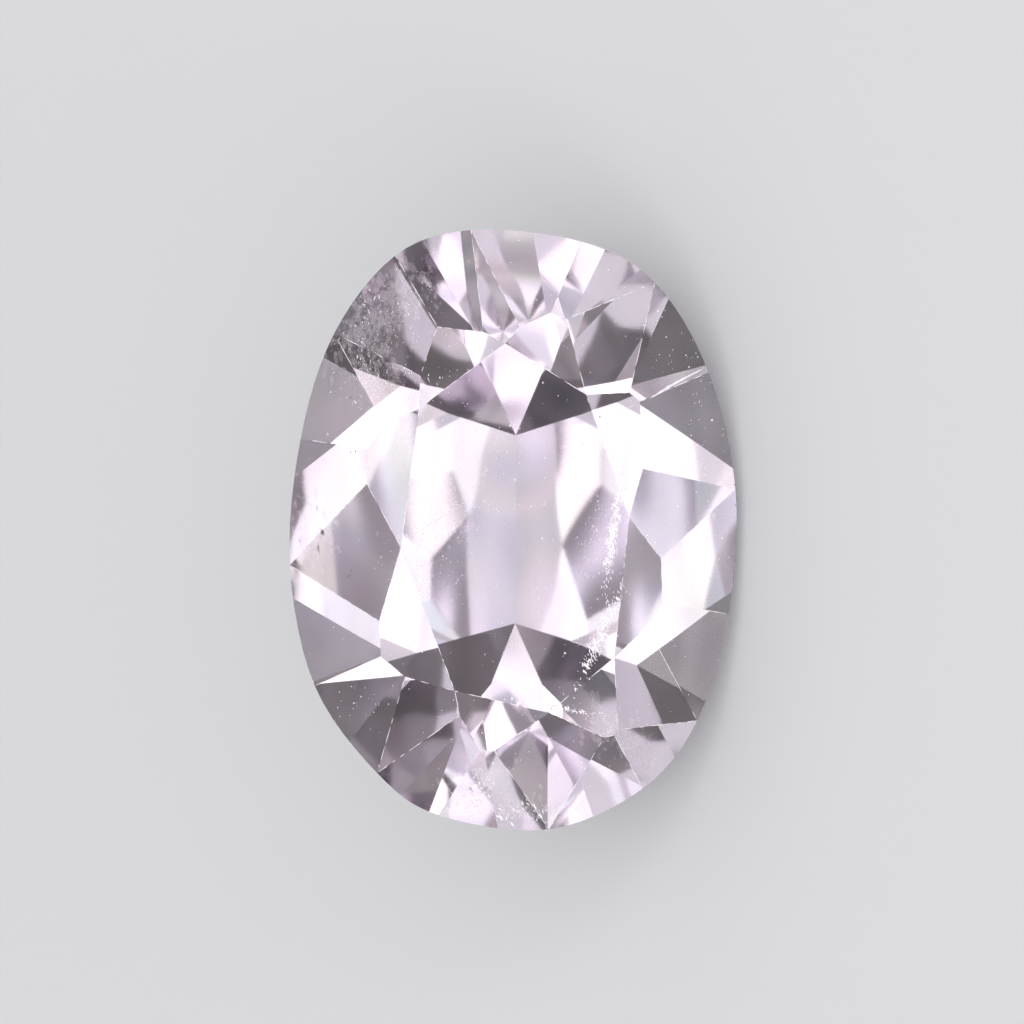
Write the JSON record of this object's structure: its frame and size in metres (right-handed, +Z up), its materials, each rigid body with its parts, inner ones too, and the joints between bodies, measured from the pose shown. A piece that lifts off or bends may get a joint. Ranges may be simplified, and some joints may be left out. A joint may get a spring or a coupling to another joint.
{
  "type": "faceted oval kunzite gemstone",
  "caption": "Oval brilliant-cut transparent gemstone of pale lilac-pink kunzite, lying loose on one long side of its pavilion, for setting in a mount or for display.",
  "frame": {"origin": "centre of the stone's plan on the surface that it lies on", "axes": "+Z up, +X along the long axis of the oval, the table faces -Y and up"},
  "size_m": [0.009, 0.005, 0.0047],
  "materials": {
    "kunzite": "polished facets, clear, pale lilac-pink"
  },
  "bodies": {
    "root": {"kunzite": "kunzite"}
  },
  "joints": []
}
